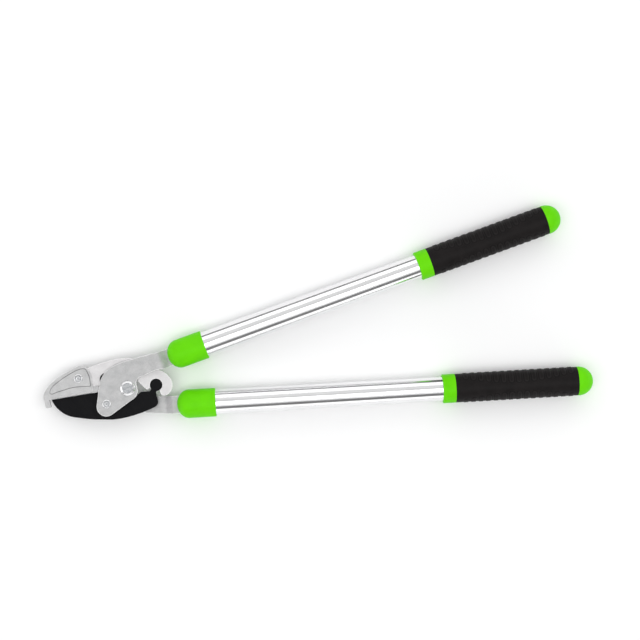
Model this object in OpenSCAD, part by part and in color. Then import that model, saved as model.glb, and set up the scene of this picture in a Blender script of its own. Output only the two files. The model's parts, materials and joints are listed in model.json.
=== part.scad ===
// Two-handed anvil loppers whose jaws and handles form a four-bar linkage.
// Origin: on the main pivot axis, in the plane that the tool lies on.
// +X runs from the jaws to the grips along the line between the handles,
// +Y towards the upper handle, +Z up out of the tool's own plane.
// Everything is drawn with the jaws closed.

/* [Handles] */
// Angle of each handle from the centre line with the jaws closed
handle_angle = 8.4; // [7:0.1:10]
// Distance of the upper handle's axis from the main pivot
upper_offset = 20.2; // [19:0.1:21]
// Distance of the lower handle's axis from the main pivot
lower_offset = 26.6; // [26:0.1:28]
// Distance along each handle from the main pivot to the end of the grip
reach = 643.5; // [560:0.5:700]
// Outer radius of the tube where it leaves the collar
tube_front_r = 17.2; // [16.8:0.1:17.4]
// Outer radius of the tube under the grip
tube_rear_r = 16.5; // [16.2:0.1:16.8]
// Wall of the tube
tube_wall = 1.5; // [1:0.1:2]

/* [Grips] */
// Length of the black grip between its green ends
grip_length = 170.5; // [150:0.5:180]
// Radius of the grip between its ribs
grip_r = 19.85; // [19.6:0.05:19.9]
// Height of a rib above the grip
rib_height = 0.55; // [0.3:0.05:0.8]
// Distance from one rib to the next
rib_pitch = 10.45; // [9.5:0.05:10.5]
// Number of ribs in a row
rib_count = 15; // [8:1:15]
// Half of the angle that the last rib of a row spans
end_rib_sweep = 46; // [30:1:60]
// Half of the angle that the longest rib in the middle of a row spans
middle_rib_sweep = 76; // [60:1:80]
// Length of the green ring in front of the grip
ring_length = 17.5; // [14:0.5:20]
// Length of the domed green end
cap_length = 22; // [20:0.5:26]

/* [Collars] */
// Distance along the handle from the main pivot to the tip of the collar
collar_start = 66; // [65:0.5:67]
// Length of the collar
collar_length = 53.5; // [50:0.5:60]
// Radius of the collar
collar_r = 19.7; // [19.2:0.1:20]
// Length of the collar's rounded nose
nose_length = 16.6; // [14:0.1:18]

/* [Link plates] */
// Thickness of each link plate
plate_t = 4; // [3:0.1:4]
// Width of a link plate's tang
tang_width = 24.2; // [22:0.1:25]
// Where the upper plate starts to bend towards the middle of the tool
upper_bend = 56; // [55:0.5:57]
// Where the lower plate starts to bend towards the middle of the tool
lower_bend = 50.5; // [50:0.5:52]
// Length of each bend
bend_length = 7.5; // [7:0.1:8]

/* [Jaws] */
// Thickness of the blade and of the anvil arm
jaw_t = 5; // [4:0.1:5]
// Radius of the blade's round knob
knob_r = 8.4; // [8.2:0.05:8.5]
// Radial clearance of a running fit
fit = 0.05; // [0.03:0.01:0.08]
// Gap between the closed blade and the anvil
closed_gap = 0.3; // [0.25:0.05:0.4]
// Distance between the anvil's teeth
tooth_pitch = 2.47; // [2.2:0.01:3]
// Depth of the anvil's teeth
tooth_depth = 1; // [0.6:0.1:1.2]
// Thickness of the anvil
anvil_t = 9; // [8:0.2:9.4]

/* [Pivots] */
// Radius of the main bolt
bolt_r = 5; // [4:0.5:5]
// Radius of the main bolt's head
head_r = 10.4; // [9:0.1:11]
// Radius of the spacer bush on the main bolt
spacer_r = 9; // [8:0.5:10]
// Width of the lock nut across its flats
nut_flats = 17; // [16:0.5:19]
// Height of the lock nut
nut_height = 10; // [8:0.5:10]
// Radius of the pivot rivets
rivet_r = 4; // [3.5:0.1:4]
// Radius of the rivets' heads
rivet_head_r = 6; // [5.5:0.1:6.5]
// Radius of the black washers on the anvil arm's rivet
washer_r = 9.1; // [8.5:0.1:9.2]

/* [Quality] */
// Largest angle between two points of a rounded outline
arc_step = 9; // [6:1:15]

/* [Hidden] */
$fn = 96;
SOFT = -1;                                      // corner with the widest arc that fits

// Heights, measured from the middle plane of the jaws
washer_t = 1.1;
slide_gap = 0.2;
plate_in = jaw_t / 2 + washer_t + 2 * slide_gap;
plate_out = plate_in + plate_t;
back_washer_t = 2;
mid_z = plate_out + 0.1 + back_washer_t + nut_height;
ring_r = mid_z;                                 // rings and caps touch the ground

// Pivots in plan
main_pivot = [0, 0];
blade_pivot = [-32.3, -15.5];
hook_pivot = [38.7, -3.6];
arm_pivot = [-26.4, 17.7];
anvil_rivet_at = [-63.6, 26.7];
pivot_clear_r = 16.6;                           // room in the jaws around the main bolt
arm_hole_r = 5.5;                               // room for the arm rivet's small wander
anvil_rivet_r = 3.5;
rivet_tail_r = 6.5;
snug = 0.02;                                    // radial clearance around a pressed-in pin
socket_r = knob_r + fit;

// Places along a handle, measured from the main pivot
grip_end = reach - cap_length;
grip_start = grip_end - grip_length;
ring_start = grip_start - ring_length;
collar_end = collar_start + collar_length;
tube_start = collar_start + 18.5;
tube_end = grip_end + 10;
cap_bore_end = tube_end + 0.3;
insert_end = tube_start + 30;
tang_end = insert_end - 5;
pin_places = [tube_start + 8, tube_start + 19];
core_wall = 1.4;
core_r = tube_rear_r + fit + core_wall;
insert_r = tube_front_r - tube_wall - fit;
pin_r = 2.5;

// Plan point at a distance along a handle and a distance to its left
function spin(p, a) = [p.x * cos(a) - p.y * sin(a), p.x * sin(a) + p.y * cos(a)];
function on_upper(along, across) = spin([along, upper_offset + across], handle_angle);
function on_lower(along, across) = spin([along, across - lower_offset], -handle_angle);

// Outlines are lists of [x, y, corner radius]
function unit(v) = v / norm(v);
function plan(p) = [p.x, p.y];
function with_radius(p, r) = [p.x, p.y, r];
function arc(centre, r, from, to) =
    let (steps = ceil(abs(to - from) / arc_step))
    [for (k = [0:steps]) centre + r * [cos(from + (to - from) * k / steps), sin(from + (to - from) * k / steps)]];
function corner(a, b, c, r) =
    let (u = unit(a - b), v = unit(c - b), half = acos(max(-1, min(1, u * v))) / 2)
    half > 89.6 || r == 0 ? [b] :
    let (widest = 0.499 * min(norm(a - b), norm(c - b)) * tan(half),
         rr = r < 0 ? widest : r,
         centre = b + unit(u + v) * rr / sin(half),
         first = b + u * rr / tan(half) - centre,
         last = b + v * rr / tan(half) - centre,
         from = atan2(first.y, first.x),
         sweep = (atan2(last.y, last.x) - from + 540) % 360 - 180)
    arc(centre, rr, from, from + sweep);
function rounded(p) =
    let (n = len(p))
    [for (i = [0:n - 1]) each corner(plan(p[(i + n - 1) % n]), plan(p[i]), plan(p[(i + 1) % n]), p[i][2])];
function sharp(points) = [for (p = points) with_radius(p, 0)];

// Upper (front) link plate, without its tang
upper_plate_outline = [
    with_radius(on_upper(upper_bend, tang_width / 2 - 0.3), 0),
    [16, 38.4, SOFT], [-8, 35.6, SOFT], [-24, 30, SOFT], [-35, 18, SOFT], [-38.6, 8, SOFT],
    [-56.3, -44.3, 13.4], [12.8, -12.4, 12], [12.8, 10, 9], [43, 16.4, 20],
    with_radius(on_upper(upper_bend, 0.5 - tang_width / 2), 0)];

// Lower (back) link plate, without its tang
lower_plate_outline = [
    with_radius(on_lower(lower_bend, tang_width / 2 - 1.6), 0),
    [26, -17.5, 12], [12.5, -14.3, 7], [12.5, 4.2, 11], [-29.3, 32.3, 10.4], [-40.9, 14.8, 10.4],
    [-2, -14.3, 12], [16.5, -39, 7],
    with_radius(on_lower(lower_bend, 0.8 - tang_width / 2), 0)];

// Anvil arm: a flat plate that ends in an open hook around the blade's knob
arm_outline = concat(
    [[-84, 17, 3], [-82, 30, 4], [-50, 38.4, SOFT], [-26, 41.6, SOFT], [-4, 43, SOFT], [16, 38.4, SOFT],
     [61, 6, 22], [60.7, -20.4, 13], [42.5, -20.4, 4.5], [42.2, -13.2, 1]],
    [with_radius(hook_pivot, 0)],
    [[28.6, -6.4, 1], [25.8, -8.4, 1.6], [22.8, -4.9, 3]],
    sharp(arc(main_pivot, pivot_clear_r, 19, 162)),
    [[-35, 4.8, 4], [-38, 11.5, 3]]);

// Line that the blade's edge lands on, from the anvil's tip to its inner end
land_tip = [-108.4, 5.7];
land_inner = [-41.9, 2.9];
land_way = unit(land_inner - land_tip);
land_up = [-land_way.y, land_way.x];
function on_land(along, down) = land_tip + along * land_way - down * land_up;

// Blade: cutting edge, clearance around the main bolt, neck, back and belly
neck_in = knob_r - 0.4;                         // the neck starts this far out from the knob's middle
edge_from = on_land(2.4, closed_gap);
edge_to = on_land(75.5, closed_gap);
blade_outline = concat(
    [with_radius(edge_from, 0), [-103.6, -2.8, SOFT], [-98, -12.2, SOFT], [-88, -21.4, SOFT],
     [-72, -27.7, SOFT], [-41.7, -36.4, SOFT], [-18, -40, SOFT], [13, -37.6, SOFT],
     [37, -31.6, 8], [36.2, -14.4, 2]],
    sharp([hook_pivot + neck_in * [cos(262), sin(262)], hook_pivot, hook_pivot + neck_in * [cos(203), sin(203)]]),
    [[28.8, -10.5, 1.8], [15.5, -8.8, 4]],
    sharp(arc(main_pivot, pivot_clear_r, 314, 190)),
    [with_radius(edge_to, 6)]);

// Anvil: serrated land, branch hook at the tip and rounded back
tooth_count = floor(61 / tooth_pitch);
land_teeth = [for (i = [0:tooth_count - 1]) each sharp([
    on_land(2.2 + i * tooth_pitch, 0), on_land(2.2 + (i + 0.5) * tooth_pitch, -tooth_depth)])];
anvil_outline = concat(land_teeth, [with_radius(land_inner, 0), [-47.6, 4.6, 0], [-47.4, 11.8, 0],
    [-46.3, 20, SOFT], [-45.7, 29, SOFT], [-50.2, 40, 5], [-58.5, 43.6, 7], [-76, 39.2, SOFT],
    [-94.5, 32.4, SOFT], [-108.5, 23, SOFT], [-116, 13.5, SOFT], [-116.4, 4, SOFT], [-115.4, -5.2, 3],
    [-107.9, -5.2, 2.4], with_radius(land_tip, 0.8)]);
strip_outline = concat(sharp([on_land(60, 0), land_inner + [2.8, -0.1]]),
    [[-39, 11.5, 0.6], [-60, 13, 0]]);
leaf_outline = [
    [-107.6, 12.2, 2.6], [-86, 15.8, SOFT], [-68.4, 16.3, SOFT], [-49, 12.9, 1], [-48.4, 28, SOFT],
    [-52, 38.6, 5], [-62, 38.8, SOFT], [-85.9, 30.9, SOFT], [-103, 21.4, SOFT]];

// Solid of revolution about the handle's axis; profile points are [radius, place]
module turned(profile) rotate([0, 90, 0]) rotate_extrude() polygon(profile);
// Places its children on the axis of a handle
module upper_axis() rotate([0, 0, handle_angle]) translate([0, upper_offset, mid_z]) children();
module lower_axis() rotate([0, 0, -handle_angle]) translate([0, -lower_offset, mid_z]) children();
// Flat plate between two heights above the middle plane
module plate(points, low, high) translate([0, 0, mid_z + low]) linear_extrude(high - low) polygon(points);
// Round pin or hole between two heights above the middle plane
module pin(at, r, low, high) translate([at.x, at.y, mid_z + low]) cylinder(r = r, h = high - low);
// Turned part about an upright axis; profile points are [radius, height above the middle plane]
module turned_pin(at, profile) translate([at.x, at.y, mid_z]) rotate_extrude() polygon(profile);
// Quarter of an ellipse, from its tip on the axis to its full radius
function dome(r, from, length) = [for (t = [0:7.5:90]) [r * sin(t), from + length * (1 - cos(t))]];

// Tang of a link plate, seen from the side: out of the plate's layer, down to the middle plane
module tang(bend) {
    half = plate_t / 2;
    profile = [[bend - 1, plate_in], [bend - 1, plate_out], [bend + 1.2, plate_out],
        [bend + bend_length + 0.6, half], [tang_end, half], [tang_end, -half],
        [bend + bend_length - 1, -half], [bend - 0.6, plate_in]];
    rotate([90, 0, 0]) linear_extrude(tang_width, center = true) polygon(profile);
}

module tang_pins() {
    for (x = pin_places) translate([x, 0, 0])
        cylinder(r = pin_r, h = 2 * (tube_front_r - 0.6), center = true);
}

module pin_holes() {
    for (x = pin_places) translate([x, 0, 0]) cylinder(r = pin_r + snug, h = 60, center = true);
}

module tube() {
    difference() {
        turned([[tube_front_r, tube_start], [tube_front_r, collar_end], [tube_rear_r, ring_start],
            [tube_rear_r, tube_end], [tube_rear_r - tube_wall, tube_end],
            [tube_rear_r - tube_wall, ring_start], [tube_front_r - tube_wall, collar_end],
            [tube_front_r - tube_wall, tube_start]]);
        pin_holes();
    }
}

module tube_insert() {
    difference() {
        turned([[0, tube_start], [insert_r, tube_start], [insert_r, insert_end], [0, insert_end]]);
        translate([tube_start - 1, -tang_width / 2 - 0.1, -plate_t / 2 - 0.05])
            cube([tang_end - tube_start + 1.2, tang_width + 0.2, plate_t + 0.1]);
        pin_holes();
    }
}

module collar() {
    bore_r = tube_front_r + fit;
    difference() {
        turned(concat(dome(collar_r, collar_start, nose_length),
            [[collar_r, collar_end - 0.8], [collar_r - 0.8, collar_end],
             [bore_r, collar_end], [bore_r, tube_start - 0.2], [0, tube_start - 0.2]]));
        translate([collar_start - 1, -tang_width / 2 - 0.1, -plate_t / 2 - 0.05])
            cube([tube_start - collar_start + 2, tang_width + 0.2, plate_t + 0.1]);
    }
}

module grip_core() {
    bore_r = tube_rear_r + fit;
    lip = 0.8;
    cap_profile = dome(ring_r, 0, cap_length - 2);
    cap_points = [for (i = [len(cap_profile) - 1:-1:0]) [cap_profile[i].x, reach - cap_profile[i].y]];
    turned(concat([[bore_r, ring_start], [ring_r - lip, ring_start], [ring_r, ring_start + lip],
        [ring_r, grip_start], [core_r, grip_start], [core_r, grip_end], [ring_r, grip_end]],
        cap_points, [[0, cap_bore_end], [bore_r, cap_bore_end]]));
}

module grip() {
    skin = 0.15;
    first_rib = grip_start + (grip_length - (rib_count - 1) * rib_pitch) / 2 + 2;
    rib_profile = [[grip_r - skin, -3.4], [grip_r + rib_height, -1.1],
        [grip_r + rib_height, 1.1], [grip_r - skin, 3.4]];
    turned([[core_r + fit, grip_start + fit], [grip_r - 0.6, grip_start + fit],
        [grip_r, grip_start + 2], [grip_r, grip_end - 2], [grip_r - 0.6, grip_end - fit],
        [core_r + fit, grip_end - fit]]);
    for (i = [0:rib_count - 1], side = [0, 180]) {
        half_sweep = end_rib_sweep + (middle_rib_sweep - end_rib_sweep) * sin(180 * (i + 0.5) / rib_count);
        translate([first_rib + i * rib_pitch, 0, 0]) rotate([side, 0, 0]) rotate([0, 90, 0])
            rotate([0, 0, 90 - half_sweep]) rotate_extrude(angle = 2 * half_sweep) polygon(rib_profile);
    }
}

module upper_link_plate() {
    color("silver") difference() {
        union() {
            plate(rounded(upper_plate_outline), plate_in, plate_out);
            upper_axis() tang(upper_bend);
        }
        pin(main_pivot, bolt_r + snug, 0, 20);
        pin(blade_pivot, rivet_r + snug, 0, 20);
        upper_axis() pin_holes();
    }
}

module lower_link_plate() {
    color("silver") difference() {
        union() {
            plate(rounded(lower_plate_outline), -plate_out, -plate_in);
            lower_axis() mirror([0, 0, 1]) tang(lower_bend);
        }
        pin(main_pivot, bolt_r + fit, -20, 0);
        pin(arm_pivot, rivet_r + snug, -20, 0);
        lower_axis() pin_holes();
    }
}

module upper_tube() color("gainsboro") upper_axis() tube();
module lower_tube() color("gainsboro") lower_axis() tube();
module upper_collar() color("limegreen") upper_axis() collar();
module lower_collar() color("limegreen") lower_axis() collar();
module upper_tube_insert() color("dimgray") upper_axis() tube_insert();
module lower_tube_insert() color("dimgray") lower_axis() tube_insert();
module upper_tang_pins() color("lightgray") upper_axis() tang_pins();
module lower_tang_pins() color("lightgray") lower_axis() tang_pins();
module upper_grip_core() color("limegreen") upper_axis() grip_core();
module lower_grip_core() color("limegreen") lower_axis() grip_core();
module upper_grip() color([0.16, 0.16, 0.16]) upper_axis() grip();
module lower_grip() color([0.16, 0.16, 0.16]) lower_axis() grip();

// Main bolt: flat-topped head with a sloping shoulder and a small locking notch
module pivot_bolt() {
    head_h = 3;
    color("lightgray") difference() {
        turned_pin(main_pivot, [[0, -mid_z], [bolt_r - 0.8, -mid_z], [bolt_r, 0.8 - mid_z],
            [bolt_r, plate_out], [head_r, plate_out], [head_r, plate_out + 0.7],
            [head_r * 0.93, plate_out + 1.5], [head_r * 0.72, plate_out + head_h],
            [0, plate_out + head_h]]);
        rotate([0, 0, -12]) translate([head_r - 1.2, -1, mid_z + plate_out + 0.3]) cube([3, 2, 5]);
    }
}

module pivot_spacer() {
    color("gray") difference() {
        pin(main_pivot, spacer_r, 0.1 - plate_in, plate_in - 0.1);
        pin(main_pivot, bolt_r + fit, -10, 10);
    }
}

module pivot_washer() {
    top = -plate_out - 0.1;
    color("silver") difference() {
        pin(main_pivot, 10, top - back_washer_t, top);
        pin(main_pivot, bolt_r + 0.25, -30, 10);
    }
}

// Lock nut: hexagon with chamfered corners and a round collar that holds the locking ring
module pivot_nut() {
    corner_r = nut_flats / 2 / cos(30);
    hex_h = nut_height * 0.78;
    color("silver") difference() {
        union() {
            intersection() {
                translate([0, 0, nut_height - hex_h]) cylinder(r = corner_r, h = hex_h, $fn = 6);
                rotate_extrude() polygon([[0, 0], [nut_flats * 0.47, nut_height - hex_h],
                    [corner_r, nut_height - hex_h + 1.2], [corner_r, nut_height - 1.2],
                    [nut_flats * 0.47, nut_height], [0, nut_height]]);
            }
            rotate_extrude() polygon([[0, 0], [nut_flats * 0.36, 0], [nut_flats * 0.44, 1.2],
                [nut_flats * 0.44, nut_height - hex_h + 0.3], [0, nut_height - hex_h + 0.3]]);
        }
        translate([0, 0, -1]) cylinder(r = bolt_r + snug, h = nut_height + 2);
    }
}

// Takes the ground taper off one face of the blade, from the tip back to the shoulder line
module blade_grind() {
    shoulder = [[-52.7, -30.9], [-34.5, 2.3]];
    way = unit(shoulder[1] - shoulder[0]);
    slope = atan((jaw_t / 2 - 0.25) / 43);
    angle = atan2(land_way.y, land_way.x);
    intersection() {
        plate(concat([shoulder[0] - 15 * way, shoulder[1] + 15 * way], [[-130, 20], [-130, -60]]), 0, 10);
        translate([edge_from.x, edge_from.y, mid_z + 0.25]) rotate([0, 0, angle])
            rotate([-slope, 0, 0]) translate([-20, -60, 0]) cube([110, 80, 12]);
    }
}

module blade() {
    color([0.13, 0.13, 0.14]) difference() {
        union() {
            difference() {
                plate(rounded(blade_outline), -jaw_t / 2, jaw_t / 2);
                blade_grind();
                translate([0, 0, 2 * mid_z]) mirror([0, 0, 1]) blade_grind();
            }
            pin(hook_pivot, knob_r, -jaw_t / 2, jaw_t / 2);
        }
        pin(blade_pivot, rivet_r + fit, -10, 10);
    }
}

// Rivet with a low rounded head, a dimple in its middle and a flat peened end
module rivet(at, low, high, tail_t) {
    turned_pin(at, [[0, low], [rivet_tail_r - 0.4, low], [rivet_tail_r, low + 0.3], [rivet_tail_r, low + tail_t],
        [rivet_r, low + tail_t], [rivet_r, high], [rivet_head_r, high],
        [rivet_head_r, high + 0.5], [rivet_head_r * 0.8, high + 1.3], [2.6, high + 1.5],
        [1.8, high + 0.5], [0, high + 0.4]]);
}

module blade_rivet() {
    tail_t = plate_in - jaw_t / 2 - 0.4;
    color("lightgray") rivet(blade_pivot, -jaw_t / 2 - 0.1 - tail_t, plate_out, tail_t);
}

module blade_washer() {
    color([0.12, 0.12, 0.12]) difference() {
        pin(blade_pivot, 8, jaw_t / 2 + slide_gap, jaw_t / 2 + slide_gap + washer_t);
        pin(blade_pivot, rivet_r + fit, -10, 10);
    }
}

module anvil_arm() {
    color([0.93, 0.92, 0.92]) difference() {
        plate(rounded(arm_outline), -jaw_t / 2, jaw_t / 2);
        pin(hook_pivot, socket_r, -10, 10);
        pin(arm_pivot, arm_hole_r, -10, 10);
        pin(anvil_rivet_at, anvil_rivet_r + snug, -10, 10);
    }
}

// Cast shoe that takes the front of the arm in a slot
module anvil() {
    strip_t = 7.2;
    leaf_t = anvil_t + 1.4;
    color([0.82, 0.82, 0.82]) difference() {
        union() {
            plate(rounded(anvil_outline), -anvil_t / 2, anvil_t / 2);
            plate(rounded(strip_outline), -strip_t / 2, strip_t / 2);
            plate(rounded(leaf_outline), -leaf_t / 2, leaf_t / 2);
        }
        translate([0, 0, mid_z - jaw_t / 2 - 0.05]) linear_extrude(jaw_t + 0.1)
            offset(delta = 0.1) polygon(rounded(arm_outline));
        pin(anvil_rivet_at, anvil_rivet_r + snug, -10, 10);
    }
}

module anvil_rivet() {
    face = anvil_t / 2 + 0.7;
    head = [[0, face + 0.5], [1.8, face + 0.6], [2.6, face + 1.5],
        [rivet_head_r * 0.8, face + 1.3], [rivet_head_r, face + 0.5], [rivet_head_r, face], [anvil_rivet_r, face]];
    foot = [for (i = [len(head) - 1:-1:0]) [head[i].x, -head[i].y]];
    color("lightgray") turned_pin(anvil_rivet_at, concat(head, foot));
}

// Rivet that ties the anvil arm to the lower plate, with its head behind the plate
module arm_rivet() {
    front = plate_in - slide_gap;
    color("lightgray") turned_pin(arm_pivot, [[0, front], [rivet_r, front], [rivet_r, -plate_out],
        [rivet_head_r, -plate_out], [rivet_head_r, -plate_out - 0.5],
        [rivet_head_r * 0.8, -plate_out - 1.3], [0, -plate_out - 1.5]]);
}

module arm_washers() {
    color([0.1, 0.1, 0.1]) for (low = [jaw_t / 2 + slide_gap, -jaw_t / 2 - slide_gap - washer_t])
        difference() {
            pin(arm_pivot, washer_r, low, low + washer_t);
            pin(arm_pivot, rivet_r + snug, -10, 10);
        }
}

upper_link_plate();
upper_tube();
upper_collar();
upper_tube_insert();
upper_tang_pins();
upper_grip_core();
upper_grip();
lower_link_plate();
lower_tube();
lower_collar();
lower_tube_insert();
lower_tang_pins();
lower_grip_core();
lower_grip();
pivot_bolt();
pivot_spacer();
pivot_washer();
pivot_nut();
blade();
blade_rivet();
blade_washer();
anvil_arm();
anvil();
anvil_rivet();
arm_rivet();
arm_washers();
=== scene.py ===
import json
import math

import bmesh
import bpy
from mathutils import Matrix, Vector
from mathutils.geometry import delaunay_2d_cdt, intersect_point_line


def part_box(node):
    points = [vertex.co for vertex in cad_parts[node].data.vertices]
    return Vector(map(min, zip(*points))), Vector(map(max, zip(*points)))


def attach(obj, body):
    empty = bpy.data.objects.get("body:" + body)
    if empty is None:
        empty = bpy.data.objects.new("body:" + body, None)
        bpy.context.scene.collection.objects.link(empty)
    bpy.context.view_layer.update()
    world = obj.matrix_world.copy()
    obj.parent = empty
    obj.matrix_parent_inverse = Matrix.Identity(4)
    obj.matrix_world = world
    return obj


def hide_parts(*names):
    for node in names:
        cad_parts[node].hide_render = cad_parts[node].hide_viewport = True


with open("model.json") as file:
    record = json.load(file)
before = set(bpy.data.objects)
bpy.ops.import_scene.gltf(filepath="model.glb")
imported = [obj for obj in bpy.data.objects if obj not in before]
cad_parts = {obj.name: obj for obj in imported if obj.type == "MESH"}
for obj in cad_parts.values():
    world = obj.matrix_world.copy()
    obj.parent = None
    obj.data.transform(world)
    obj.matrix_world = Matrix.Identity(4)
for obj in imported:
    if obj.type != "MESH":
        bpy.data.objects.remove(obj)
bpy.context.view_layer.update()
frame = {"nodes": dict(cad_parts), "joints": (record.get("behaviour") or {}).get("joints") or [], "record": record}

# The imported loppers, finished for pictures. Metres; origin and axes are the frame's own.


MM = 0.001
SCENE = bpy.context.scene
NODES = frame["nodes"]
JOINTS = {joint["name"]: joint for joint in frame["joints"]}
BODY_OF = {node: body for body, members in frame["record"]["behaviour"]["bodies"].items()
           for node in members}
PIVOT = Vector(JOINTS["handle_pivot"]["pos_m"])
MIDDLE = PIVOT.z

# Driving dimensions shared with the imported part; other sizes are measured on the frame.
FIT = 0.05 * MM
TUBE_WALL = 1.5 * MM
CORE_WALL = 1.4 * MM
PLATE_THICK = 4 * MM
COLLAR_NOSE = 16.6 * MM
TANG_SLOT_WIDTH = 24.4 * MM
RIB_COUNT = 15
RIB_PITCH = 10.45 * MM
RIB_HEIGHT = 0.55 * MM
RIB_HALF_WIDTH = 3.4 * MM
RIB_ROW_TURN = math.radians(7)
LEAF_STEP = 0.7 * MM
STRIP_STEP = 0.9 * MM
ROUND_EDGE = 0.6 * MM


# ---------------------------------------------------------------- shader helpers

class Shader:
    """A material under construction: its node tree and the Principled shader in it."""

    def __init__(self, name, roughness=0.5, metallic=0.0, **constants):
        self.material = bpy.data.materials.new(name)
        self.material.use_nodes = True
        self.tree = self.material.node_tree
        self.bsdf = self.tree.nodes["Principled BSDF"]
        self.bsdf.inputs["Roughness"].default_value = roughness
        self.bsdf.inputs["Metallic"].default_value = metallic
        for socket, value in constants.items():
            self.bsdf.inputs[socket.replace("_", " ")].default_value = value
        self.coords = self.tree.nodes.new("ShaderNodeTexCoord").outputs["Object"]

    def node(self, kind, **settings):
        made = self.tree.nodes.new(kind)
        for key, value in settings.items():
            setattr(made, key, value)
        return made

    def link(self, output, target):
        self.tree.links.new(output, target)

    def mapped(self, scale=(1, 1, 1), turn=0.0):
        """Object coordinates turned about Z and stretched."""
        turned = self.node("ShaderNodeMapping")
        turned.inputs["Rotation"].default_value = (0, 0, turn)
        self.link(self.coords, turned.inputs["Vector"])
        stretched = self.node("ShaderNodeMapping")
        stretched.inputs["Scale"].default_value = scale
        self.link(turned.outputs["Vector"], stretched.inputs["Vector"])
        return stretched.outputs["Vector"]

    def noise(self, scale, detail=3.0, roughness=0.55, vector=None):
        made = self.node("ShaderNodeTexNoise")
        made.inputs["Scale"].default_value = scale
        made.inputs["Detail"].default_value = detail
        made.inputs["Roughness"].default_value = roughness
        self.link(vector or self.coords, made.inputs["Vector"])
        return made.outputs["Fac"]

    def cells(self, scale, vector=None):
        made = self.node("ShaderNodeTexVoronoi")
        made.inputs["Scale"].default_value = scale
        self.link(vector or self.coords, made.inputs["Vector"])
        return made.outputs["Distance"]

    def spread(self, value, low, high, low_out, high_out):
        """Stretches low..high of a value to low_out..high_out, clamped."""
        made = self.node("ShaderNodeMapRange")
        limits = (("From Min", low), ("From Max", high), ("To Min", low_out), ("To Max", high_out))
        for socket, number in limits:
            made.inputs[socket].default_value = number
        self.link(value, made.inputs["Value"])
        return made.outputs["Result"]

    def sum(self, *weighted):
        """Weighted sum of values: (value, weight), ..."""
        total = None
        for value, weight in weighted:
            term = self.node("ShaderNodeMath", operation="MULTIPLY")
            self.link(value, term.inputs[0])
            term.inputs[1].default_value = weight
            if total is None:
                total = term.outputs[0]
                continue
            both = self.node("ShaderNodeMath", operation="ADD")
            self.link(total, both.inputs[0])
            self.link(term.outputs[0], both.inputs[1])
            total = both.outputs[0]
        return total

    def blend(self, factor, low, high):
        """Colour between two colours; each is an RGB tuple or a colour output."""
        made = self.node("ShaderNodeMix", data_type="RGBA")
        self.link(factor, made.inputs["Factor"])
        for socket, colour in ((made.inputs[6], low), (made.inputs[7], high)):
            if isinstance(colour, tuple):
                socket.default_value = (*colour, 1)
            else:
                self.link(colour, socket)
        return made.outputs[2]

    def wear_and_painted_light_mask(self, valley, crest):
        """1 on outward edges, 0 in grooves, judged by how sharply the surface bends; it places real wear on
        plastic edges, and painted shade and painted highlight on rubber.
        """
        geometry = self.node("ShaderNodeNewGeometry")
        return self.spread(geometry.outputs["Pointiness"], valley, crest, 0.0, 1.0)

    def colour(self, output):
        self.link(output, self.bsdf.inputs["Base Color"])

    def roughness(self, output):
        self.link(output, self.bsdf.inputs["Roughness"])

    def bump(self, height, distance, strength=1.0):
        made = self.node("ShaderNodeBump")
        made.inputs["Strength"].default_value = strength
        made.inputs["Distance"].default_value = distance
        self.link(height, made.inputs["Height"])
        self.link(made.outputs["Normal"], self.bsdf.inputs["Normal"])


def blasted_metal(name, dark, light, roughness, grain=0.00006):
    """Bead-blasted or tumbled metal: fine bright speckle over slow cloudy patches."""
    shader = Shader(name, metallic=0.35)
    speckle = shader.noise(1500, 2.0, 0.6)
    clouds = shader.noise(110, 4.0, 0.6)
    mixed = shader.sum((speckle, 0.7), (clouds, 0.3))
    tone = shader.spread(mixed, 0.38, 0.62, 0.0, 1.0)
    shader.colour(shader.blend(tone, dark, light))
    shader.roughness(shader.spread(mixed, 0.35, 0.65, roughness + 0.06, roughness - 0.05))
    shader.bump(speckle, grain, 0.55)
    return shader.material


def polished_edge(name, colour, roughness):
    """Edge that handling or finishing has rubbed bright."""
    shader = Shader(name, metallic=1.0)
    rub = shader.noise(420, 3.0)
    shader.colour(shader.blend(rub, tuple(0.9 * c for c in colour), colour))
    shader.roughness(shader.spread(rub, 0.3, 0.7, roughness, roughness + 0.1))
    return shader.material


def drawn_tube(name, turn):
    """Anodised aluminium with faint die lines along the handle."""
    shader = Shader(name, metallic=1.0)
    along = shader.mapped(scale=(0.012, 1, 1), turn=turn)
    lines = shader.noise(2600, 2.0, 0.6, along)
    bands = shader.noise(240, 2.0, 0.5, along)
    patches = shader.noise(26, 3.0)
    tone = shader.spread(shader.sum((lines, 0.5), (bands, 0.3), (patches, 0.2)), 0.4, 0.6, 0, 1)
    shader.colour(shader.blend(tone, (0.82, 0.82, 0.83), (0.93, 0.93, 0.935)))
    shader.roughness(shader.spread(patches, 0.3, 0.7, 0.12, 0.17))
    shader.bump(lines, 0.000012, 0.4)
    return shader.material


def moulded_plastic(name, base, deep, roughness):
    """Moulded plastic with a spark-eroded mould texture and faint flow clouds."""
    shader = Shader(name, roughness=roughness, Specular_IOR_Level=0.1)
    texture = shader.noise(2300, 2.0, 0.6)
    flow = shader.noise(38, 3.0)
    tone = shader.spread(shader.sum((flow, 0.6), (texture, 0.4)), 0.38, 0.62, 0, 1)
    rubbed = tuple(min(1.0, 1.12 * channel + 0.01) for channel in base)
    shader.colour(shader.blend(shader.wear_and_painted_light_mask(0.51, 0.57), shader.blend(tone, deep, base), rubbed))
    shader.roughness(shader.spread(flow, 0.3, 0.7, roughness - 0.05, roughness + 0.06))
    shader.bump(texture, 0.00004, 0.35)
    return shader.material


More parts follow.
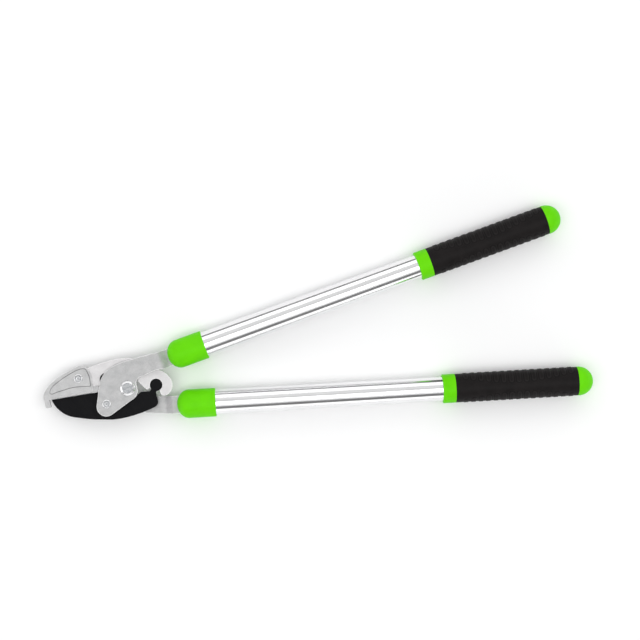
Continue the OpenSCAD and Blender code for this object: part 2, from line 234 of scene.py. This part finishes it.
def moulded_rubber(name):
    """Soft black rubber: fine pebble grain with dusty, slightly browner patches; painted shade darkens the grooves
    round the ribs and a painted highlight lightens the rib crests.
    """
    shader = Shader(name, roughness=0.5, Specular_IOR_Level=0.1)
    pebble = shader.cells(1500)
    dust = shader.noise(60, 4.0, 0.65)
    fine = shader.noise(1900, 2.0, 0.6)
    tone = shader.spread(shader.sum((dust, 0.6), (fine, 0.4)), 0.4, 0.62, 0, 1)
    body = shader.blend(tone, (0.006, 0.005, 0.005), (0.012, 0.010, 0.010))
    # Painted shade: near-black colour where the surface bends inwards, in the grooves round the ribs.
    groove_painted_shade = shader.blend(shader.wear_and_painted_light_mask(0.46, 0.5), (0.002, 0.002, 0.002), body)
    # Painted highlight: lighter colour on the rib crests.
    shader.colour(shader.blend(shader.wear_and_painted_light_mask(0.5, 0.54), groove_painted_shade, (0.020, 0.018, 0.018)))
    shader.roughness(shader.spread(dust, 0.3, 0.7, 0.44, 0.6))
    shader.bump(shader.sum((pebble, 0.7), (fine, 0.3)), 0.00007, 0.4)
    return shader.material


def coated_blade(name, base, sheen_tone, roughness):
    """Black low-friction coating with a faint grain; its lighter edge version is a painted highlight on the
    blade's rounded edges.
    """
    shader = Shader(name, roughness=roughness, Specular_IOR_Level=0.06)
    grain = shader.noise(1700, 2.0, 0.65)
    scuff = shader.noise(90, 5.0, 0.7, shader.mapped(scale=(1, 0.25, 1), turn=-0.4))
    tone = shader.spread(shader.sum((scuff, 0.6), (grain, 0.4)), 0.42, 0.66, 0, 1)
    shader.colour(shader.blend(tone, base, sheen_tone))
    shader.roughness(shader.spread(scuff, 0.3, 0.7, roughness - 0.05, roughness + 0.08))
    shader.bump(grain, 0.00003, 0.4)
    return shader.material


def plated_fastener(name, dark, light, roughness):
    """Zinc-plated steel with crystalline mottling."""
    shader = Shader(name, metallic=1.0)
    crystals = shader.noise(520, 2.0, 0.5)
    fine = shader.noise(1400, 3.0, 0.65)
    mixed = shader.sum((crystals, 0.6), (fine, 0.4))
    tone = shader.spread(mixed, 0.38, 0.62, 0, 1)
    shader.colour(shader.blend(tone, dark, light))
    shader.roughness(shader.spread(fine, 0.3, 0.7, roughness - 0.06, roughness + 0.1))
    shader.bump(mixed, 0.00008, 0.45)
    return shader.material


HANDLE_TURN = math.radians(8.4)
PLATE = blasted_metal("blasted steel", (0.36, 0.36, 0.365), (0.54, 0.54, 0.54), 0.54)
PLATE_EDGE = polished_edge("blasted steel edge", (0.9, 0.9, 0.9), 0.24)
ARM = blasted_metal("bright plated arm", (0.55, 0.54, 0.545), (0.68, 0.67, 0.675), 0.48)
ARM_EDGE = polished_edge("bright plated arm edge", (0.95, 0.94, 0.945), 0.26)
ANVIL = blasted_metal("tumbled casting", (0.38, 0.38, 0.385), (0.58, 0.58, 0.58), 0.54, 0.0001)
ANVIL_EDGE = polished_edge("tumbled casting edge", (0.88, 0.88, 0.88), 0.3)
# Dark colour for the fine groove round the anvil's leaf panel: painted shade.
GROOVE_PAINTED_SHADE = blasted_metal("painted groove shade", (0.13, 0.13, 0.132), (0.22, 0.22, 0.22), 0.62)
BLADE = coated_blade("blade coating", (0.004, 0.004, 0.005), (0.009, 0.009, 0.010), 0.44)
# Lighter coating on the blade's rounded edges: a painted highlight.
BLADE_EDGE_PAINTED_HIGHLIGHT = coated_blade("blade coating painted edge highlight", (0.04, 0.04, 0.044), (0.10, 0.10, 0.105), 0.33)
GREEN = moulded_plastic("lime green plastic", (0.142, 0.700, 0.001), (0.122, 0.630, 0.001), 0.5)
NYLON = moulded_plastic("black nylon", (0.022, 0.022, 0.024), (0.012, 0.012, 0.014), 0.5)
RUBBER = moulded_rubber("black grip rubber")
ZINC = plated_fastener("zinc plate", (0.20, 0.205, 0.215), (0.44, 0.45, 0.46), 0.40)
ZINC_EDGE = polished_edge("zinc plate edge", (0.9, 0.9, 0.91), 0.22)
TUBES = {"upper": drawn_tube("upper tube aluminium", -HANDLE_TURN),
         "lower": drawn_tube("lower tube aluminium", HANDLE_TURN)}


# ---------------------------------------------------------------- mesh helpers

def show(name, mesh, materials, node):
    """Puts a finished mesh in the scene in place of a CAD node, on that node's body."""
    piece = bpy.data.objects.new(name, mesh)
    SCENE.collection.objects.link(piece)
    for material in materials:
        mesh.materials.append(material)
    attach(piece, BODY_OF[node])
    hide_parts(node)
    return piece


def shade(mesh, angle=32):
    """Smooth shading that stays crisp where faces meet at more than angle degrees."""
    mesh.shade_smooth()
    mesh.set_sharp_from_angle(angle=math.radians(angle))


def settled(mesh, modifiers):
    """Applies modifiers, given as (kind, {setting: value}), and returns the new mesh."""
    holder = bpy.data.objects.new("holder", mesh)
    SCENE.collection.objects.link(holder)
    for kind, settings in modifiers:
        modifier = holder.modifiers.new(kind, kind)
        for key, value in settings.items():
            setattr(modifier, key, value)
    graph = bpy.context.evaluated_depsgraph_get()
    result = bpy.data.meshes.new_from_object(holder.evaluated_get(graph))
    bpy.data.objects.remove(holder)
    return result


def clean_copy(node):
    """The CAD node's mesh with its triangles joined back into flat faces."""
    work = bmesh.new()
    work.from_mesh(NODES[node].data)
    bmesh.ops.remove_doubles(work, verts=work.verts, dist=2e-6)
    bmesh.ops.dissolve_limit(work, angle_limit=math.radians(0.4), verts=work.verts, edges=work.edges)
    bmesh.ops.dissolve_degenerate(work, dist=0.06 * MM, edges=work.edges)
    mesh = bpy.data.meshes.new(node + "_flat")
    work.to_mesh(mesh)
    work.free()
    mesh.materials.clear()
    return mesh


def polish_slopes(mesh):
    """Gives the second material to every face that is neither level nor upright."""
    for face in mesh.polygons:
        if 0.08 < abs(face.normal.z) < 0.97:
            face.material_index = 1


def off_line(point, start, end):
    """How far a plan point lies from a straight stretch of outline."""
    nearest, part = intersect_point_line(point, start, end)
    return (point - start.lerp(end, min(1.0, max(0.0, part)))).length


def paint_groove_shade(mesh, ring, reach, floor_level):
    """Gives the third material, a dark painted shade, to the walls and floor of the groove that follows an
    outline.
    """
    sides = list(zip(ring, ring[1:] + ring[:1]))
    for face in mesh.polygons:
        on_floor = abs(abs(face.center.z - MIDDLE) - floor_level) < 0.05 * MM
        if abs(face.normal.z) > 0.97 and not on_floor:
            continue
        if any(off_line(face.center.to_2d(), *side) < reach for side in sides):
            face.material_index = 2


def rounded_piece(node, name, materials, width, sharp=35, segments=3, slopes=False):
    """A CAD node with its sharp edges rounded; the last material lies on the rounded edges."""
    flat = clean_copy(node)
    flat.shade_smooth()
    mesh = settled(flat, [
        ("BEVEL", {"width": width, "segments": segments, "limit_method": "ANGLE",
                   "angle_limit": math.radians(sharp), "material": len(materials) - 1,
                   "miter_outer": "MITER_ARC", "use_clamp_overlap": True}),
        ("WEIGHTED_NORMAL", {"weight": 60, "keep_sharp": True})])
    if slopes:
        polish_slopes(mesh)
    return show(name, mesh, materials, node)


def outlines(node, height):
    """Plan outlines of a CAD node's level faces at one height: the outside one first, then holes."""
    work = bmesh.new()
    work.from_mesh(clean_copy(node))
    level = [face for face in work.faces
             if face.normal.z > 0.99 and abs(face.calc_center_median().z - height) < 0.05 * MM]
    next_to = {}
    for face in level:
        for loop in face.loops:
            if not any(other in level for other in loop.edge.link_faces if other is not face):
                next_to[loop.vert.index] = loop.link_loop_next.vert.index
    work.verts.ensure_lookup_table()
    found = []
    while next_to:
        start, index = next_to.popitem()
        ring = [start]
        while index in next_to:
            ring.append(index)
            index = next_to.pop(index)
        found.append(thinned([work.verts[k].co.to_2d() for k in ring]))
    work.free()
    real = [ring for ring in found if len(ring) > 2 and extent(ring) > 1 * MM]
    return sorted(real, key=lambda ring: -extent(ring))


def thinned(ring):
    """The ring without points that lie almost on top of the one before them."""
    return [p for k, p in enumerate(ring) if (p - ring[k - 1]).length > 0.08 * MM]


def extent(ring):
    return max(p.x for p in ring) - min(p.x for p in ring)


def extruded(rings, thick, bevel, offset):
    """Extruded outline about level zero, with rounded edges, from a flat curve."""
    curve = bpy.data.curves.new("slab", "CURVE")
    curve.dimensions = "2D"
    curve.fill_mode = "BOTH"
    curve.extrude = thick / 2 - bevel
    curve.bevel_depth = bevel
    curve.bevel_resolution = 2
    curve.offset = offset
    for ring in rings:
        spline = curve.splines.new("POLY")
        spline.points.add(len(ring) - 1)
        for point, place in zip(spline.points, ring):
            point.co = (place.x, place.y, 0, 1)
        spline.use_cyclic_u = True
    holder = bpy.data.objects.new("slab", curve)
    SCENE.collection.objects.link(holder)
    graph = bpy.context.evaluated_depsgraph_get()
    mesh = bpy.data.meshes.new_from_object(holder.evaluated_get(graph))
    bpy.data.objects.remove(holder)
    return mesh


def slab(rings, low, high, bevel, grow=0.0):
    """Flat plate between two heights, with rounded edges; grow moves its outline outwards."""
    mesh = extruded(rings, high - low, bevel, grow - bevel)
    work = bmesh.new()
    work.from_mesh(mesh)
    bmesh.ops.translate(work, verts=work.verts, vec=(0, 0, (low + high) / 2))
    bmesh.ops.remove_doubles(work, verts=work.verts, dist=2e-6)
    work.normal_update()
    level = [face for face in work.faces if abs(face.normal.z) > 0.995]
    bmesh.ops.delete(work, geom=level, context="FACES")
    for height in (low, high):
        close_rim(work, height)
    bmesh.ops.recalc_face_normals(work, faces=work.faces)
    work.to_mesh(mesh)
    work.free()
    return mesh


def close_rim(work, height):
    """Fills the level between the open edges at one height, leaving its holes open."""
    rim = [edge for edge in work.edges
           if edge.is_boundary and all(abs(vertex.co.z - height) < 1e-6 for vertex in edge.verts)]
    corners = list(dict.fromkeys(vertex for edge in rim for vertex in edge.verts))
    index = {vertex: k for k, vertex in enumerate(corners)}
    places = [vertex.co.to_2d() / MM for vertex in corners]
    pairs = [tuple(index[vertex] for vertex in edge.verts) for edge in rim]
    points, _, triangles, origins, _, _ = delaunay_2d_cdt(places, pairs, [], 1, 1e-6)
    made = [corners[origin[0]] if origin else work.verts.new((point.x * MM, point.y * MM, height))
            for point, origin in zip(points, origins)]
    for triangle in triangles:
        centre = sum((points[k] for k in triangle), Vector((0, 0))) / 3
        if inside(centre, [(places[a], places[b]) for a, b in pairs]):
            work.faces.new([made[k] for k in triangle])


def inside(point, edges):
    """True if a ray from the point crosses the edges an odd number of times."""
    crossed = [a.x + (point.y - a.y) * (b.x - a.x) / (b.y - a.y) > point.x
               for a, b in edges if (a.y > point.y) != (b.y > point.y)]
    return sum(crossed) % 2 == 1


def combined(mesh, steps):
    """Joins or cuts solids one after another; steps are (operation, mesh)."""
    cutters = []
    modifiers = []
    for operation, other in steps:
        cutter = bpy.data.objects.new("cutter", other)
        SCENE.collection.objects.link(cutter)
        cutters.append(cutter)
        modifiers.append(("BOOLEAN", {"object": cutter, "operation": operation, "solver": "EXACT"}))
    result = settled(mesh, modifiers)
    for cutter in cutters:
        bpy.data.objects.remove(cutter)
    return result


def even_normals(mesh):
    """Smooth shading in which broad faces stay flat and only their rims turn."""
    mesh.materials.clear()
    mesh.shade_smooth()
    mesh.set_sharp_from_angle(angle=math.radians(38))
    return settled(mesh, [("WEIGHTED_NORMAL", {"weight": 60, "keep_sharp": True})])


class Handle:
    """One handle's axis, measured on its CAD tube; places are metres along it from the main pivot."""

    def __init__(self, side):
        self.side = side
        plug = self.centre("tube_insert")
        grip = self.centre("grip")
        way = (grip - plug).normalized()
        foot = plug - way * (plug - PIVOT).dot(way)
        across = Vector((0, 0, 1)).cross(way)
        self.matrix = Matrix.Translation(foot) @ Matrix((way, across, (0, 0, 1))).transposed().to_4x4()
        self.inverse = self.matrix.inverted()

    def centre(self, part):
        low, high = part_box(f"{self.side}_{part}")
        middle = (low + high) / 2
        return Vector((middle.x, middle.y, MIDDLE))

    def local(self, part):
        """The vertices of one of the handle's CAD nodes, in the handle's own axes."""
        return [self.inverse @ v.co for v in NODES[f"{self.side}_{part}"].data.vertices]

    def span(self, part):
        """(start, end, largest radius) of one of the handle's CAD nodes."""
        local = self.local(part)
        radius = max(math.hypot(p.y, p.z) for p in local)
        return min(p.x for p in local), max(p.x for p in local), radius

    def radius_at(self, part, place):
        """Outside radius of a CAD node at the edge loop closest to one place."""
        local = self.local(part)
        closest = min(abs(p.x - place) for p in local)
        return max(math.hypot(p.y, p.z) for p in local if abs(p.x - place) < closest + 0.1 * MM)


def turned(profile, matrix, around=96, closed=True):
    """Mesh turned about a handle's axis; profile is a list of (place, radius)."""
    work = bmesh.new()
    rings = []
    for place, radius in profile:
        if radius < 1e-7:
            rings.append([work.verts.new(matrix @ Vector((place, 0, 0)))])
            continue
        ring = []
        for k in range(around):
            angle = 2 * math.pi * k / around
            ring.append(work.verts.new(
                matrix @ Vector((place, radius * math.cos(angle), radius * math.sin(angle)))))
        rings.append(ring)
    pairs = list(zip(rings, rings[1:])) + ([(rings[-1], rings[0])] if closed else [])
    for one, two in pairs:
        if len(one) == 1 and len(two) == 1:
            continue
        for k in range(around):
            quad = [one[k % len(one)], one[(k + 1) % len(one)], two[(k + 1) % len(two)], two[k % len(two)]]
            corners = list(dict.fromkeys(quad))
            if len(corners) > 2:
                work.faces.new(corners)
    bmesh.ops.recalc_face_normals(work, faces=work.faces)
    mesh = bpy.data.meshes.new("turned")
    work.to_mesh(mesh)
    work.free()
    return mesh


def rounding(place, radius, depth, start, end, steps=6):
    """Quarter-round profile points about (place, radius), from start to end degrees."""
    return [(place + depth * math.cos(math.radians(start + (end - start) * k / steps)),
             radius + depth * math.sin(math.radians(start + (end - start) * k / steps)))
            for k in range(steps + 1)]


# ---------------------------------------------------------------- handle pieces

def tube(handle):
    """Thin-walled tube that narrows evenly from the collar to the grip."""
    start, end, _ = handle.span("tube")
    collar_end = handle.span("collar")[1]
    ring_start = handle.span("grip_core")[0]
    front = handle.radius_at("tube", start)
    rear = handle.radius_at("tube", end)
    free = ring_start - collar_end
    steps = 24
    outer = [(start, front)]
    outer += [(collar_end + free * k / steps, front + (rear - front) * k / steps) for k in range(steps + 1)]
    outer += [(end, rear)]
    inner = [(place, radius - TUBE_WALL) for place, radius in reversed(outer)]
    mesh = turned(outer + inner, handle.matrix, around=128)
    shade(mesh, 40)
    return show(handle.side + "_tube_polished", mesh, [TUBES[handle.side]], handle.side + "_tube")


def tang_cutter(handle, start):
    """Block that cuts the slot for the tang through a collar's nose."""
    length = 30 * MM
    centre = start + 12 * MM
    block = bmesh.new()
    bmesh.ops.create_cube(block, size=1.0, matrix=handle.matrix @ Matrix.Translation((centre, 0, 0))
                          @ Matrix.Diagonal((length, TANG_SLOT_WIDTH, PLATE_THICK + 2 * FIT, 1)))
    mesh = bpy.data.meshes.new("tang_slot")
    block.to_mesh(mesh)
    block.free()
    return mesh


def collar(handle):
    """Rounded nose, slot for the tang, body and a softly rounded rear rim."""
    start, end, radius = handle.span("collar")
    tube_start = handle.span("tube")[0]
    bore = handle.radius_at("tube", tube_start) + FIT
    rim = 1.0 * MM
    chamfer = 0.3 * MM
    outer = [(start + COLLAR_NOSE * (1 - math.cos(math.radians(t))), radius * math.sin(math.radians(t)))
             for t in range(0, 91, 3)]
    outer += rounding(end - rim, radius - rim, rim, 90, 0)
    outer += [(end, bore + chamfer), (end - chamfer, bore), (tube_start, bore), (tube_start, 0)]
    body = turned(outer, handle.matrix, around=112, closed=False)
    slotted = combined(body, [("DIFFERENCE", tang_cutter(handle, start))])
    mesh = settled(slotted, [
        ("BEVEL", {"width": 0.35 * MM, "segments": 2, "limit_method": "ANGLE",
                   "angle_limit": math.radians(50), "use_clamp_overlap": True})])
    mesh.materials.clear()
    shade(mesh, 40)
    return show(handle.side + "_collar_moulded", mesh, [GREEN], handle.side + "_collar")


def grip_core(handle):
    """Green ring with soft edges, the hidden sleeve and the domed end."""
    start, end, radius = handle.span("grip_core")
    radius -= 0.03 * MM  # keeps the turned piece inside the CAD box
    grip_start, grip_end, _ = handle.span("grip")
    tube_end = handle.span("tube")[1]
    bore = handle.radius_at("tube", tube_end) + FIT
    sleeve = bore + CORE_WALL
    dome = end - grip_end - 2 * MM
    lip = 1.1 * MM
    soft = 0.5 * MM
    waist = radius - 0.12 * MM
    profile = [(start, bore), (start, radius - lip - 0.2 * MM)]
    profile += rounding(start + lip, radius - lip, lip, 180, 90)
    profile += [(start + 3.2 * MM, waist), (grip_start - 3 * MM, waist)]
    profile += rounding(grip_start - soft, radius - soft, soft, 90, 0, 4)
    profile += [(grip_start, sleeve), (grip_end, sleeve)]
    profile += rounding(grip_end + soft, radius - soft, soft, 180, 90, 4)
    profile += [(end - dome * (1 - math.cos(math.radians(t))), radius * math.sin(math.radians(t)))
                for t in range(90, -1, -3)]
    profile += [(tube_end + 0.3 * MM, 0), (tube_end + 0.3 * MM, bore)]
    mesh = turned(profile, handle.matrix, around=128)
    shade(mesh, 40)
    return show(handle.side + "_grip_core_moulded", mesh, [GREEN], handle.side + "_grip_core")


def rib_profile(distance):
    """Relief over distance in from a rib's rim (negative outside): a moat, then a rounded bar."""
    moat = 1.3 * MM
    moat_depth = 0.35
    shoulder = 1.4 * MM
    if distance < -moat:
        return 0.0
    if distance < 0:
        return -moat_depth * math.sin(math.pi * (distance + moat) / moat)
    rise = min(1.0, distance / shoulder)
    return rise * (2 - rise)


def rib_rise(place, side_angle, first, radius):
    """Height, 1 at the crest, of the cross ribs on each side; they are longest in mid-grip."""
    index = min(RIB_COUNT - 1, max(0, round((place - first) / RIB_PITCH)))
    sweep = 44 + 28 * math.sin(math.pi * (index + 0.5) / RIB_COUNT)
    past_end = max(0.0, (abs(side_angle) - math.radians(sweep)) * radius + RIB_HALF_WIDTH)
    return rib_profile(RIB_HALF_WIDTH - math.hypot(place - first - index * RIB_PITCH, past_end))


def grip_places(start, end, soft, steps=270):
    """Ring places along a grip, closer together round its soft ends."""
    places = [start + soft * (1 - math.cos(math.radians(t))) for t in range(0, 90, 15)]
    body = [start + soft + (end - start - 2 * soft) * k / steps for k in range(steps + 1)]
    return places + body + [start + end - place for place in reversed(places)]


def drawn_in(from_end, soft):
    """How far a quarter-round end draws the surface in, this far from the end."""
    if from_end >= soft:
        return 0.0
    return soft - math.sqrt(max(0.0, soft ** 2 - (soft - from_end) ** 2))


def wrapped(rings, matrix, around):
    """Closed mesh of rings about a handle's axis; a ring is (place, function from angle to radius)."""
    work = bmesh.new()
    made = []
    for place, radius_of in rings:
        ring = []
        for k in range(around):
            angle = 2 * math.pi * (k + 0.5) / around
            r = radius_of(angle)
            ring.append(work.verts.new(matrix @ Vector((place, r * math.cos(angle), r * math.sin(angle)))))
        made.append(ring)
    for one, two in zip(made, made[1:] + made[:1]):
        for k in range(around):
            n = (k + 1) % around
            work.faces.new((one[k], one[n], two[n], two[k]))
    bmesh.ops.recalc_face_normals(work, faces=work.faces)
    mesh = bpy.data.meshes.new("wrapped")
    work.to_mesh(mesh)
    work.free()
    return mesh


def grip(handle):
    """Rubber sleeve with two rows of raised cross ribs and soft ends."""
    start, end, crest = handle.span("grip")
    radius = crest - RIB_HEIGHT
    inner = handle.radius_at("tube", end) + FIT + CORE_WALL + FIT
    first = start + (end - start - (RIB_COUNT - 1) * RIB_PITCH) / 2 + 2 * MM
    soft = 0.9 * MM

    def outside(place):
        base = radius - drawn_in(min(place - start, end - place), soft)
        return lambda angle: base + RIB_HEIGHT * rib_rise(
            place, math.remainder(angle - RIB_ROW_TURN, math.pi), first, radius)

    rings = [(start, lambda angle: inner)]
    rings += [(place, outside(place)) for place in grip_places(start, end, soft)]
    rings += [(end, lambda angle: inner)]
    mesh = wrapped(rings, handle.matrix, around=176)
    shade(mesh, 50)
    return show(handle.side + "_grip_ribbed", mesh, [RUBBER], handle.side + "_grip")


def with_tang(handle, flat, fold):
    """Outline of a plate's flat body, carried on past the fold by a straight-sided tang."""
    local = handle.local("link_plate")
    tang_end = max(p.x for p in local)
    half = max(p.y for p in local if p.x > tang_end - 1 * MM)
    clear = fold - 2.5 * MM
    first = next(k for k in range(len(flat)) if flat[k].x < clear <= flat[k - 1].x)
    body = [p for p in flat[first:] + flat[:first] if p.x < clear]
    way = math.copysign(half, body[-1].y)
    tang = [Vector((fold, way, 0)), Vector((tang_end, way, 0)),
            Vector((tang_end, -way, 0)), Vector((fold, -way, 0))]
    return [(handle.matrix @ p).to_2d() for p in body + tang]


def set_down(mesh, handle, start, length, drop, steps=14):
    """Moves all that lies past start by drop, through one smooth bend along the handle."""
    work = bmesh.new()
    work.from_mesh(mesh)
    work.transform(handle.inverse)
    for k in range(steps + 1):
        everything = work.verts[:] + work.edges[:] + work.faces[:]
        bmesh.ops.bisect_plane(work, geom=everything, dist=1e-7, plane_no=(1, 0, 0),
                               plane_co=(start + length * k / steps, 0, 0))
    for vertex in work.verts:
        t = min(1.0, max(0.0, (vertex.co.x - start) / length))
        vertex.co.z += drop * t * t * (3 - 2 * t)
    work.transform(handle.matrix)
    work.to_mesh(mesh)
    work.free()


def polish_bent_plate(mesh, handle, start, length):
    """Edge material on a plate's rounded edges, but not on the slope of its bend."""
    across = handle.matrix.to_3x3().col[1]
    for face in mesh.polygons:
        in_bend = start < (handle.inverse @ face.center).x < start + length
        turn = abs(face.normal.dot(across)) if in_bend else abs(face.normal.z)
        if 0.08 < turn < 0.97:
            face.material_index = 1


def link_plate(handle):
    """Flat plate whose tang is set down to the handle's middle plane through a rounded joggle."""
    node = handle.side + "_link_plate"
    low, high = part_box(node)
    raised = handle.side == "upper"
    bottom = high.z - PLATE_THICK if raised else low.z
    rings = outlines(node, bottom + PLATE_THICK)
    flat = [handle.inverse @ Vector((p.x, p.y, MIDDLE)) for p in rings[0]]
    fold = max(p.x for p in flat) if raised else handle.span("collar")[0] - 14.5 * MM
    lead, length = (4.6 * MM, 13.5 * MM) if raised else (2.6 * MM, 13 * MM)
    start = fold - lead
    mesh = slab([with_tang(handle, flat, fold)] + rings[1:], bottom, bottom + PLATE_THICK, ROUND_EDGE)
    set_down(mesh, handle, start, length, MIDDLE - (bottom + PLATE_THICK / 2))
    mesh = even_normals(mesh)
    polish_bent_plate(mesh, handle, start, length)
    return show(node + "_finished", mesh, [PLATE, PLATE_EDGE], node)


for side in ("upper", "lower"):
    handle = Handle(side)
    tube(handle)
    collar(handle)
    grip_core(handle)
    grip(handle)
    link_plate(handle)
    rounded_piece(side + "_tube_insert", side + "_insert_moulded", [NYLON], 0.3 * MM)
    rounded_piece(side + "_tang_pins", side + "_cross_pins", [ZINC, ZINC_EDGE], 0.3 * MM)


# ---------------------------------------------------------------- head pieces

def anvil_arm():
    """Flat arm that carries the anvil and ends in the open hook."""
    low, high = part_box("anvil_arm")
    mesh = even_normals(slab(outlines("anvil_arm", high.z), low.z, high.z, ROUND_EDGE))
    polish_slopes(mesh)
    return show("anvil_arm_plated", mesh, [ARM, ARM_EDGE], "anvil_arm")


def mirrored_slab(rings, half, bevel, grow=0.0):
    """Slab of this half thickness about the tool's middle plane."""
    return slab(rings, MIDDLE - half, MIDDLE + half, bevel, grow)


def shell_and_ledge(body, strip):
    """The toothed body's outline without its rear strip, and the strip's carried in under the body."""
    tail_start = min(p.x for p in strip)
    tail_top = max(p.y for p in strip)
    shell = [p for p in body if p.x < tail_start + 0.05 * MM or p.y > tail_top - 0.1 * MM]
    corner = min((p for p in strip if p.x < tail_start + 0.5 * MM), key=lambda p: p.y)
    inwards = Vector((1.9, 1.4)) * MM
    return shell, [p if p is not corner else p - inwards for p in strip]


def leaf_grooves(leaf, floor_level, top_level, width):
    """Cutters, front and back, that leave a fine groove round the leaf panel."""
    front = slab([leaf], MIDDLE + floor_level, MIDDLE + top_level, 0, grow=width)
    back = slab([leaf], MIDDLE - top_level, MIDDLE - floor_level, 0, grow=width)
    return [("DIFFERENCE", front), ("DIFFERENCE", back)]


def anvil():
    """Cast shoe: toothed body, leaf panel in a fine groove and rear strip, slotted for the arm."""
    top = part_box("anvil")[1].z
    leaf_half = top - MIDDLE
    body_half = leaf_half - LEAF_STEP
    strip_half = body_half - STRIP_STEP
    rivet_hole, *_, leaf = sorted(outlines("anvil", top), key=extent)
    shell, ledge = shell_and_ledge(outlines("anvil", MIDDLE + body_half)[0],
                                   outlines("anvil", MIDDLE + strip_half)[0])
    groove_width = 0.45 * MM
    groove_floor = body_half - 0.35 * MM
    plate_gap = 0.12 * MM  # lets the body pass the upper plate when fully open
    solid = mirrored_slab([shell, rivet_hole], body_half, 0.25 * MM, grow=-plate_gap)
    panel = mirrored_slab([rivet_hole, leaf], leaf_half, 0.35 * MM)
    tail = mirrored_slab([ledge], strip_half, 0.2 * MM, grow=0.15 * MM)
    arm_low, arm_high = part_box("anvil_arm")
    slot = slab(outlines("anvil_arm", arm_high.z)[:1], arm_low.z - FIT, arm_high.z + FIT, 0, grow=2 * FIT)
    steps = leaf_grooves(leaf, groove_floor, leaf_half + MM, groove_width)
    steps += [("UNION", panel), ("UNION", tail), ("DIFFERENCE", slot)]
    mesh = even_normals(combined(solid, steps))
    polish_slopes(mesh)
    # Painted shade: the groove round the leaf panel takes the dark third material.
    paint_groove_shade(mesh, leaf, groove_width + 0.1 * MM, groove_floor)
    return show("anvil_cast", mesh, [ANVIL, ANVIL_EDGE, GROOVE_PAINTED_SHADE], "anvil")


rounded_piece("blade", "blade_coated", [BLADE, BLADE_EDGE_PAINTED_HIGHLIGHT], 0.25 * MM, sharp=50)
anvil_arm()
anvil()
for node, name in (("pivot_bolt", "main_bolt"), ("pivot_nut", "lock_nut"), ("pivot_washer", "back_washer"),
                   ("pivot_spacer", "spacer_bush"), ("blade_rivet", "blade_rivet_headed"),
                   ("anvil_rivet", "anvil_rivet_headed"), ("arm_rivet", "arm_rivet_headed")):
    rounded_piece(node, name, [ZINC, ZINC_EDGE], 0.2 * MM, sharp=30, slopes=True)
for node, name in (("blade_washer", "blade_slide_washer"), ("arm_washers", "arm_slide_washers")):
    rounded_piece(node, name, [NYLON], 0.15 * MM)


# ---------------------------------------------------------------- floor, lights and camera

def floor():
    """Wide pale sheet just under the tool."""
    shader = Shader("pale floor", roughness=0.9)
    paper = shader.noise(3.0, 2.0)
    shader.colour(shader.blend(paper, (0.93, 0.93, 0.935), (0.96, 0.96, 0.96)))
    bpy.ops.mesh.primitive_plane_add(size=36, location=(0.3, 0, -0.0003))
    plane = bpy.context.object
    plane.name = "floor"
    plane.data.materials.append(shader.material)


def softbox(name, lean, spread, brightness, length=14.0, distance=6.0, turn=0):
    """Long lamp beside or above the tool. Degrees: lean is its tilt from overhead towards +Y,
    spread the angle it fills as seen from the tool, turn its bearing about Z."""
    width = 2 * distance * math.tan(math.radians(spread / 2))
    data = bpy.data.lights.new(name, "AREA")
    data.shape = "RECTANGLE"
    data.size, data.size_y = length, width
    data.energy = brightness * math.pi * length * width
    lamp = bpy.data.objects.new(name, data)
    angle = math.radians(lean)
    swing = Matrix.Rotation(math.radians(turn), 4, "Z")
    tilt = Matrix.Rotation(-angle, 4, "X")
    place = Matrix.Translation((0, distance * math.sin(angle), distance * math.cos(angle)))
    lamp.matrix_world = Matrix.Translation((0.25, 0, MIDDLE)) @ swing @ place @ tilt
    lamp.visible_camera = False
    SCENE.collection.objects.link(lamp)


def surroundings(brightness):
    """Even dim white light from everywhere else."""
    world = bpy.data.worlds.new("studio")
    world.use_nodes = True
    background = world.node_tree.nodes["Background"]
    background.inputs["Color"].default_value = (1, 1, 1, 1)
    background.inputs["Strength"].default_value = brightness
    SCENE.world = world


def camera():
    """Straight above the middle of the tool but for two degrees, rolled so the tool points up right."""
    at = Vector((0.203, 0.054, 2.310))
    aim = Vector((0.278, 0.0382, MIDDLE))
    roll = math.radians(11.66)
    forward = (aim - at).normalized()
    right = forward.cross(Vector((math.sin(roll), math.cos(roll), 0))).normalized()
    up = right.cross(forward)
    data = bpy.data.cameras.new("camera")
    data.lens = 93.2
    data.clip_end = 50
    view = bpy.data.objects.new("camera", data)
    view.matrix_world = Matrix.Translation(at) @ Matrix((right, up, -forward)).transposed().to_4x4()
    SCENE.collection.objects.link(view)
    SCENE.camera = view


floor()
surroundings(0.20)
softbox("overhead softbox", -10, 28, 2.2)
softbox("overhead lower feather", -32, 14, 0.7)
softbox("overhead upper feather", 12, 14, 0.5)
softbox("upper gap feather", 29, 20, 0.6)
softbox("upper side softbox", 57, 34, 1.15)
softbox("lower side softbox", -77, 24, 1.15)
softbox("jaw end softbox", 78, 20, 1.5, 5.8, turn=90)
softbox("grip end softbox", 78, 20, 1.5, 5.8, turn=-90)
camera()
SCENE.view_settings.view_transform = "Standard"
